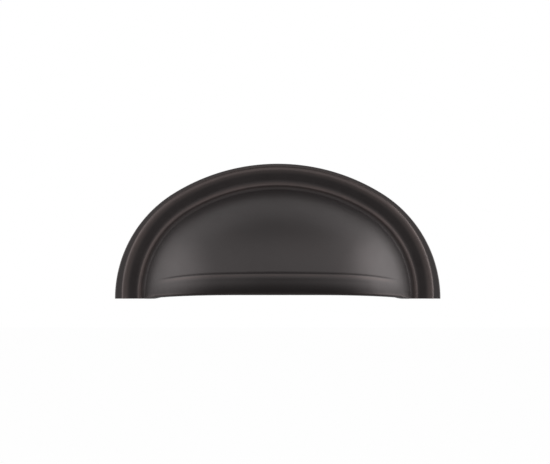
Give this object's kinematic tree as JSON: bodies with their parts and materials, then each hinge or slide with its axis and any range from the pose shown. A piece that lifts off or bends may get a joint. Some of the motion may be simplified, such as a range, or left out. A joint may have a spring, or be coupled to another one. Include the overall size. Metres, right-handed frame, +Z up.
{
  "type": "cup pull",
  "caption": "Cast cup pull: a half-dome drawer handle with a moulded arched rim, a creased lip that rolls under, a hollow for the fingers behind, and two tapped holes in the flat back.",
  "frame": {"origin": "middle of the line between the two screw holes, in the plane of the flat back", "axes": "+X along the pull, +Y out of the flat back into the drawer front, +Z up; the bowl faces -Y and is open below"},
  "size_m": [0.1084, 0.0249, 0.0449],
  "materials": {
    "dark_bronze": "dark oil-rubbed bronze, satin, with warm copper showing faintly along the mouldings and the crease"
  },
  "bodies": {
    "root": {"cup_pull": "dark_bronze"}
  },
  "joints": []
}
